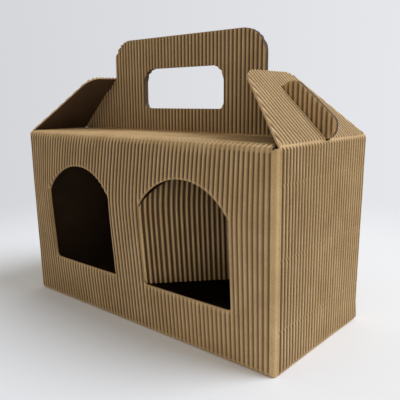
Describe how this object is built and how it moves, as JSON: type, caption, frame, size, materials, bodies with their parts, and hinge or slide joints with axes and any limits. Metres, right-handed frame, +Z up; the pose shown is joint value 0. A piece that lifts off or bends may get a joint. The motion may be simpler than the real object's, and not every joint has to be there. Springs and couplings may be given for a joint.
{
  "type": "jar carry box",
  "caption": "Kraft corrugated carry box for jars, with arched front windows, slotted end flaps and a doubled handle with a hand hole.",
  "frame": {"origin": "on the floor, under the middle of the box", "axes": "+X along the front to the right, +Y to the back, +Z up"},
  "size_m": [0.2396, 0.107, 0.198],
  "materials": {
    "kraft_card": "matte open-flute kraft"
  },
  "bodies": {
    "carton": {"carton": "kraft_card"},
    "left_end_flap": {"left_end_flap": "kraft_card"},
    "right_end_flap": {"right_end_flap": "kraft_card"},
    "left_window_flap": {"left_window_flap": "kraft_card"},
    "right_window_flap": {"right_window_flap": "kraft_card"}
  },
  "joints": [
    {"name": "right_end_flap_crease", "type": "hinge", "parent": "carton", "child": "right_end_flap", "pos_m": [0.1138, 0, 0.1291], "axis": [0, 1, 0], "range_deg": [0, 115]},
    {"name": "left_end_flap_crease", "type": "hinge", "parent": "carton", "child": "left_end_flap", "pos_m": [-0.1138, 0, 0.1291], "axis": [0, -1, 0], "range_deg": [0, 115]},
    {"name": "right_window_flap_crease", "type": "hinge", "parent": "carton", "child": "right_window_flap", "pos_m": [0.0137, -0.0523, 0.06], "axis": [0, 0, 1], "range_deg": [-48, 42]},
    {"name": "left_window_flap_crease", "type": "hinge", "parent": "carton", "child": "left_window_flap", "pos_m": [-0.0137, -0.0523, 0.06], "axis": [0, 0, -1], "range_deg": [-48, 42]}
  ]
}
